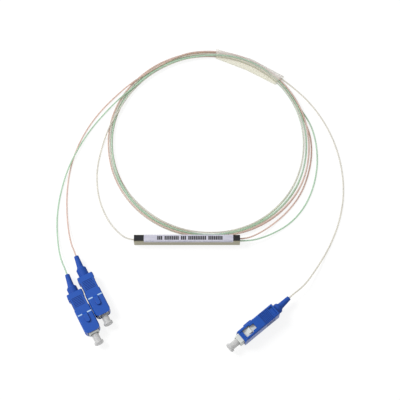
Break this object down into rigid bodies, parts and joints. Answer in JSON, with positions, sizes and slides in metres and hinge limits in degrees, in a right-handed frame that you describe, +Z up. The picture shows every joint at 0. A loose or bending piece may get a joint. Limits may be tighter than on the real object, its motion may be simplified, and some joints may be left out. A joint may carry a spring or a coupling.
{
  "type": "fibre optic splitter",
  "caption": "Steel-tube optical splitter with loose-tube fibres wound in a round coil, a clear coil sleeve and capped push-pull plugs.",
  "frame": {"origin": "under the middle of the steel tube, on the surface that everything lies on", "axes": "+X along the steel tube to its output end, +Y from the tube into the coil, +Z up"},
  "size_m": [0.1658, 0.1881, 0.0093],
  "materials": {
    "stainless": "drawn and brushed along the tube",
    "sealant": "cured sealant",
    "silica": "polished silica",
    "glue": "soft clear silicone",
    "bare_fibre": "coated bare fibre",
    "label_film": "satin film label",
    "black_film": "black film",
    "white_fibre": "extruded, satin",
    "pink_fibre": "extruded, satin",
    "green_fibre": "extruded, satin",
    "coiled_fibre": "the three fibres wound together",
    "clear_film": "thin clear film",
    "blue_moulding": "moulded, fine satin",
    "white_moulding": "moulded, satin",
    "zirconia": "ground",
    "plated_steel": "nickel plated, turned",
    "spring_steel": "drawn wire",
    "blue_elastomer": "soft moulding",
    "translucent_cap": "translucent polyethylene"
  },
  "bodies": {
    "root": {"steel_tube": "stainless", "end_seal_in": "sealant", "end_seal_out": "sealant", "splitter_chip": "silica", "input_fibre_block": "silica", "output_fibre_block": "silica", "glue_pad": "glue", "bare_fibre_in": "bare_fibre", "bare_fibre_out_a": "bare_fibre", "bare_fibre_out_b": "bare_fibre", "label": "label_film", "end_band_in": "black_film", "end_band_out": "black_film", "fibre_coil": "coiled_fibre", "coil_sleeve": "clear_film", "in_lead": "white_fibre", "in_tail": "white_fibre", "out_a_lead": "pink_fibre", "out_a_tail": "pink_fibre", "out_b_lead": "green_fibre", "out_b_tail": "green_fibre", "in_plug_frame": "white_moulding", "in_spring": "spring_steel", "in_rear_body": "plated_steel", "in_boot": "blue_elastomer", "out_a_plug_frame": "white_moulding", "out_a_spring": "spring_steel", "out_a_rear_body": "plated_steel", "out_a_boot": "blue_elastomer", "out_b_plug_frame": "white_moulding", "out_b_spring": "spring_steel", "out_b_rear_body": "plated_steel", "out_b_boot": "blue_elastomer"},
    "in_grip": {"in_grip": "blue_moulding"},
    "in_ferrule": {"in_ferrule": "zirconia", "in_ferrule_collar": "plated_steel"},
    "in_cap": {"in_dust_cap": "translucent_cap"},
    "out_a_grip": {"out_a_grip": "blue_moulding"},
    "out_a_ferrule": {"out_a_ferrule": "zirconia", "out_a_ferrule_collar": "plated_steel"},
    "out_a_cap": {"out_a_dust_cap": "translucent_cap"},
    "out_b_grip": {"out_b_grip": "blue_moulding"},
    "out_b_ferrule": {"out_b_ferrule": "zirconia", "out_b_ferrule_collar": "plated_steel"},
    "out_b_cap": {"out_b_dust_cap": "translucent_cap"}
  },
  "joints": [
    {"name": "in_grip_slide", "type": "slide", "parent": "root", "child": "in_grip", "axis": [0.7672, 0.6414, 0], "range_m": [-0.0025, 0]},
    {"name": "in_ferrule_press", "type": "slide", "parent": "root", "child": "in_ferrule", "axis": [0.7672, 0.6414, 0], "range_m": [0, 0.0015], "stiffness_N_per_m": 600, "springref_m": -0.01, "deforming": ["in_spring"]},
    {"name": "in_cap_pull", "type": "slide", "parent": "root", "child": "in_cap", "axis": [-0.7672, -0.6414, 0], "range_m": [0, 0.012]},
    {"name": "out_a_grip_slide", "type": "slide", "parent": "root", "child": "out_a_grip", "axis": [-0.4602, 0.8878, 0], "range_m": [0, 0.0025]},
    {"name": "out_a_ferrule_press", "type": "slide", "parent": "root", "child": "out_a_ferrule", "axis": [-0.4602, 0.8878, 0], "range_m": [0, 0.0015], "stiffness_N_per_m": 600, "springref_m": -0.01, "deforming": ["out_a_spring"]},
    {"name": "out_a_cap_pull", "type": "slide", "parent": "root", "child": "out_a_cap", "axis": [0.4602, -0.8878, 0], "range_m": [0, 0.012]},
    {"name": "out_b_grip_slide", "type": "slide", "parent": "root", "child": "out_b_grip", "axis": [-0.4633, 0.8862, 0], "range_m": [-0.0013, 0.0012]},
    {"name": "out_b_ferrule_press", "type": "slide", "parent": "root", "child": "out_b_ferrule", "axis": [-0.4633, 0.8862, 0], "range_m": [0, 0.0015], "stiffness_N_per_m": 600, "springref_m": -0.01, "deforming": ["out_b_spring"]},
    {"name": "out_b_cap_pull", "type": "slide", "parent": "root", "child": "out_b_cap", "axis": [0.4633, -0.8862, 0], "range_m": [0, 0.012]}
  ]
}
